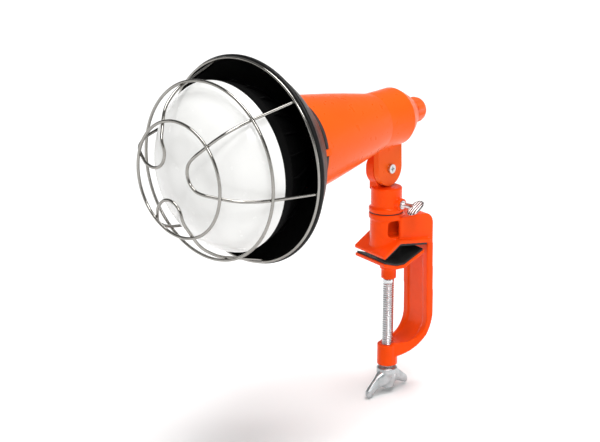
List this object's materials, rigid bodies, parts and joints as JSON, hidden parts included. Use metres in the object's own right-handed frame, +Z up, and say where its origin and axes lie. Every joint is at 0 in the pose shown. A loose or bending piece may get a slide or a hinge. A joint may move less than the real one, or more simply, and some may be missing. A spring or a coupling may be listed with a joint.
{
  "type": "clip-on reading lamp",
  "caption": "Clamp-on work light: caged opal lamp in a black shade on a tilting, panning head, held by a screw C-clamp with V jaws and a wing handle.",
  "frame": {"origin": "on the axis of the clamp's post, in the plane of the flat lands at the tips of the upper jaw", "axes": "+Z up along the post and the clamp screw, throat opens to -Y, column stands at +Y, +X to the thumb screw's side"},
  "size_m": [0.1947, 0.3513, 0.3952],
  "materials": {
    "shade_black": "semi-matte black enamel",
    "collar_black": "matte",
    "seal_rubber": "matte",
    "head_paint": "glossy orange powder coat",
    "gland_plastic": "satin orange plastic",
    "porcelain": "glazed white",
    "contact_brass": "plain",
    "zinc_plate": "zinc plated",
    "cap_metal": "nickel plated cap",
    "cap_glass": "black insulator",
    "lamp_black": "black painted",
    "board_green": "glass-fibre board",
    "board_white": "white solder mask",
    "chip_yellow": "phosphor",
    "opal": "opal diffuser, satin",
    "guard_wire": "polished wire",
    "clamp_paint": "glossy orange-red enamel on a casting",
    "lining_rubber": "matte",
    "thumb_zinc": "cast, plated",
    "screw_steel": "bright zinc",
    "handle_zinc": "as-cast zinc, plated"
  },
  "bodies": {
    "clamp": {"clamp_frame": "clamp_paint", "upper_lining": "lining_rubber", "swivel_washer": "zinc_plate"},
    "swivel": {"swivel_sleeve": "clamp_paint", "lock_insert": "zinc_plate", "friction_disc": "seal_rubber", "tilt_bolt": "zinc_plate", "tilt_nut": "zinc_plate"},
    "lock_shoe": {"lock_shoe": "contact_brass"},
    "thumb_screw": {"thumb_screw": "thumb_zinc"},
    "lamp_head": {"shade": "shade_black", "shade_collar": "collar_black", "shade_gasket": "seal_rubber", "lamp_housing": "head_paint", "gland_body": "gland_plastic", "gland_locknut": "gland_plastic", "gland_seal": "seal_rubber", "gland_nut": "gland_plastic", "lampholder_body": "porcelain", "lampholder_shell": "contact_brass", "lampholder_contact": "contact_brass", "lampholder_strap": "zinc_plate", "strap_screws": "zinc_plate", "wire_terminals": "contact_brass", "lamp_cap": "cap_metal", "cap_insulator": "cap_glass", "cap_contact": "cap_metal", "lamp_body": "lamp_black", "driver_board": "board_green", "light_board": "board_white", "light_chips": "chip_yellow", "diffuser_dome": "opal", "guard_rim_ring": "guard_wire", "guard_mid_ring": "guard_wire", "guard_front_ring": "guard_wire", "guard_hairpin_1": "guard_wire", "guard_hairpin_2": "guard_wire", "guard_hairpin_3": "guard_wire"},
    "moving_jaw": {"moving_jaw": "clamp_paint", "lower_lining": "lining_rubber"},
    "clamp_screw": {"clamp_screw": "screw_steel", "retaining_ring": "zinc_plate", "wing_handle": "handle_zinc", "handle_pin": "screw_steel"}
  },
  "joints": [
    {"name": "head_pan", "type": "hinge", "parent": "clamp", "child": "swivel", "pos_m": [0, 0, 0.055], "axis": [0, 0, 1], "continuous": true},
    {"name": "head_tilt", "type": "hinge", "parent": "swivel", "child": "lamp_head", "pos_m": [0, 0, 0.09], "axis": [0.9728, 0.2317, 0], "range_deg": [-75, 55]},
    {"name": "screw_turn", "type": "hinge", "parent": "moving_jaw", "child": "clamp_screw", "pos_m": [0, 0.0045, -0.1], "axis": [0, 0, -1], "range_deg": [-414, 9720]},
    {"name": "jaw_slide", "type": "slide", "parent": "clamp", "child": "moving_jaw", "axis": [0, 0, -1], "range_m": [-0.0029, 0.0676]},
    {"name": "lock_slide", "type": "slide", "parent": "swivel", "child": "lock_shoe", "axis": [0.9728, 0.2317, 0], "range_m": [0, 0.00201]},
    {"name": "lock_turn", "type": "hinge", "parent": "lock_shoe", "child": "thumb_screw", "pos_m": [0, 0, 0.054], "axis": [0.9728, 0.2317, 0], "range_deg": [0, 720]}
  ],
  "couplings": [
    {"joint": "jaw_slide", "follows": "screw_turn", "m_per_rad": 0.00039789},
    {"joint": "lock_slide", "follows": "lock_turn", "m_per_rad": 0.00015915}
  ]
}
